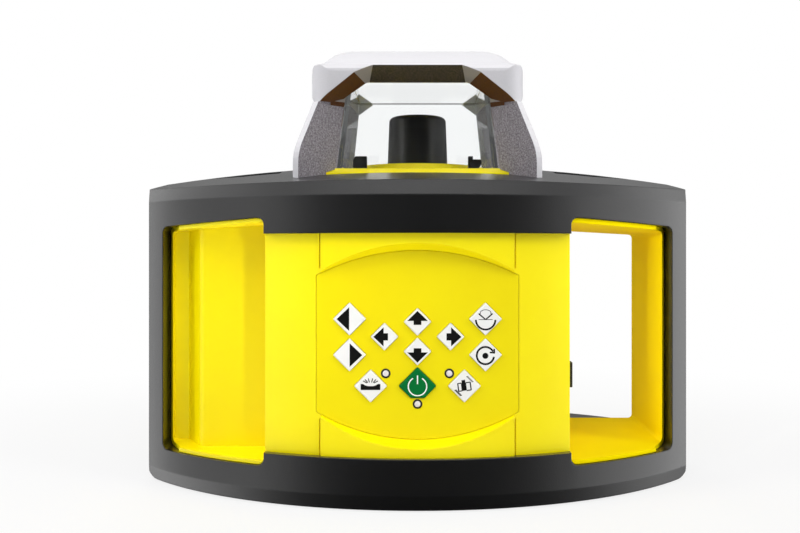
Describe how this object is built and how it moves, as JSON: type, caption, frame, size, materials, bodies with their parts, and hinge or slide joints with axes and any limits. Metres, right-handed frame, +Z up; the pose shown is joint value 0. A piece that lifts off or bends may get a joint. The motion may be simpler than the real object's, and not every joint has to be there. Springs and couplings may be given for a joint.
{
  "type": "rotating laser level",
  "caption": "Self-levelling rotating laser level: yellow body with keypad in a black bowed frame with hand grips, and a cast cage with glass panes round a spinning rotor head.",
  "frame": {"origin": "middle of the base, on the ground", "axes": "+X across the grips, +Y from the keypad to the rear, +Z up along the rotor axis"},
  "size_m": [0.255, 0.174, 0.2015],
  "materials": {
    "black_frame": "satin moulded elastomer",
    "black_trim": "matte",
    "black_rubber": "matte",
    "black_rotor": "satin",
    "yellow_body": "semi-gloss",
    "yellow_panel": "matte film",
    "circuit_board": "solder mask",
    "led_lens": "clear",
    "brass_insert": "machined",
    "screw_steel": "machined",
    "motor_steel": "plated",
    "cast_alloy": "bead blasted",
    "machined_alloy": "machined",
    "anodised_alloy": "black anodised",
    "pane_glass": "polished",
    "optical_glass": "polished",
    "copper_winding": "enamelled wire",
    "magnet_ferrite": "sintered",
    "cell_sleeve": "shrink sleeve",
    "green_key": "matte silicone",
    "white_key": "matte silicone"
  },
  "bodies": {
    "housing": {"front_frame": "black_frame", "rear_frame": "black_frame", "front_shell": "yellow_body", "rear_shell": "yellow_body", "grip_liner": "yellow_body", "battery_box": "yellow_body", "keypad_panel": "yellow_panel", "keypad_board": "circuit_board", "led_lenses": "led_lens", "main_board": "circuit_board", "charge_socket": "black_trim", "base_plate": "black_trim", "tripod_insert": "brass_insert", "base_screws": "screw_steel", "frame_screws": "screw_steel", "deck": "yellow_body", "cage": "cast_alloy", "window_front": "pane_glass", "window_rear": "pane_glass", "window_left": "pane_glass", "window_right": "pane_glass", "pane_clips": "black_trim", "chassis": "machined_alloy", "level_motor_x": "motor_steel", "level_motor_y": "motor_steel"},
    "gimbal": {"gimbal_ring": "machined_alloy"},
    "barrel": {"laser_barrel": "anodised_alloy", "laser_module": "brass_insert", "collimator_lens": "optical_glass", "spindle_bearings": "motor_steel", "motor_stator": "copper_winding"},
    "rotor": {"spindle": "screw_steel", "motor_magnet": "magnet_ferrite", "encoder_disc": "optical_glass", "rotor_cap": "black_rotor", "pentaprism": "optical_glass", "beam_window": "optical_glass"},
    "rod_x": {"level_rod_x": "machined_alloy"},
    "rod_y": {"level_rod_y": "machined_alloy"},
    "flap": {"charge_cover": "black_rubber"},
    "cassette": {"battery_cover": "yellow_body", "battery_pack": "black_trim", "battery_cells": "cell_sleeve"},
    "knob": {"lock_knob": "black_trim"},
    "key_power": {"button_power": "green_key"},
    "key_up": {"button_up": "white_key"},
    "key_down": {"button_down": "white_key"},
    "key_left": {"button_left": "white_key"},
    "key_right": {"button_right": "white_key"},
    "key_scan_left": {"button_scan_left": "white_key"},
    "key_scan_right": {"button_scan_right": "white_key"},
    "key_scan_angle": {"button_scan_angle": "white_key"},
    "key_speed": {"button_speed": "white_key"},
    "key_beam": {"button_beam": "white_key"},
    "key_tilt": {"button_tilt": "white_key"}
  },
  "joints": [
    {"name": "gimbal_tilt", "type": "hinge", "parent": "housing", "child": "gimbal", "pos_m": [0, 0, 0.124], "axis": [1, 0, 0], "range_deg": [-5, 5]},
    {"name": "barrel_tilt", "type": "hinge", "parent": "gimbal", "child": "barrel", "pos_m": [0, 0, 0.124], "axis": [0, 1, 0], "range_deg": [-5, 5]},
    {"name": "rotor_spin", "type": "hinge", "parent": "barrel", "child": "rotor", "pos_m": [0, 0, 0.15], "axis": [0, 0, 1], "continuous": true},
    {"name": "rod_y_slide", "type": "slide", "parent": "housing", "child": "rod_y", "axis": [0, 1, 0], "range_m": [-0.0085, 0.0085]},
    {"name": "rod_x_slide", "type": "slide", "parent": "housing", "child": "rod_x", "axis": [1, 0, 0], "range_m": [-0.009, 0.009]},
    {"name": "flap_hinge", "type": "hinge", "parent": "housing", "child": "flap", "pos_m": [0.0665, -0.045, 0.053], "axis": [0, 0, 1], "range_deg": [0, 110]},
    {"name": "cassette_slide", "type": "slide", "parent": "housing", "child": "cassette", "axis": [0, 1, 0], "range_m": [0, 0.1]},
    {"name": "lock_turn", "type": "hinge", "parent": "cassette", "child": "knob", "pos_m": [-0.091, 0.04, 0.0674], "axis": [0, 1, 0], "range_deg": [0, 90]},
    {"name": "press_power", "type": "slide", "parent": "housing", "child": "key_power", "axis": [0, 1, 0], "range_m": [0, 0.0008], "stiffness_N_per_m": 1500},
    {"name": "press_up", "type": "slide", "parent": "housing", "child": "key_up", "axis": [0, 1, 0], "range_m": [0, 0.0008], "stiffness_N_per_m": 1500},
    {"name": "press_down", "type": "slide", "parent": "housing", "child": "key_down", "axis": [0, 1, 0], "range_m": [0, 0.0008], "stiffness_N_per_m": 1500},
    {"name": "press_left", "type": "slide", "parent": "housing", "child": "key_left", "axis": [0, 1, 0], "range_m": [0, 0.0008], "stiffness_N_per_m": 1500},
    {"name": "press_right", "type": "slide", "parent": "housing", "child": "key_right", "axis": [0, 1, 0], "range_m": [0, 0.0008], "stiffness_N_per_m": 1500},
    {"name": "press_scan_left", "type": "slide", "parent": "housing", "child": "key_scan_left", "axis": [0, 1, 0], "range_m": [0, 0.0008], "stiffness_N_per_m": 1500},
    {"name": "press_scan_right", "type": "slide", "parent": "housing", "child": "key_scan_right", "axis": [0, 1, 0], "range_m": [0, 0.0008], "stiffness_N_per_m": 1500},
    {"name": "press_scan_angle", "type": "slide", "parent": "housing", "child": "key_scan_angle", "axis": [0, 1, 0], "range_m": [0, 0.0008], "stiffness_N_per_m": 1500},
    {"name": "press_speed", "type": "slide", "parent": "housing", "child": "key_speed", "axis": [0, 1, 0], "range_m": [0, 0.0008], "stiffness_N_per_m": 1500},
    {"name": "press_beam", "type": "slide", "parent": "housing", "child": "key_beam", "axis": [0, 1, 0], "range_m": [0, 0.0008], "stiffness_N_per_m": 1500},
    {"name": "press_tilt", "type": "slide", "parent": "housing", "child": "key_tilt", "axis": [0, 1, 0], "range_m": [0, 0.0008], "stiffness_N_per_m": 1500}
  ],
  "couplings": [
    {"joint": "rod_y_slide", "follows": "gimbal_tilt", "m_per_rad": 0.0925},
    {"joint": "rod_x_slide", "follows": "barrel_tilt", "m_per_rad": -0.0975}
  ]
}
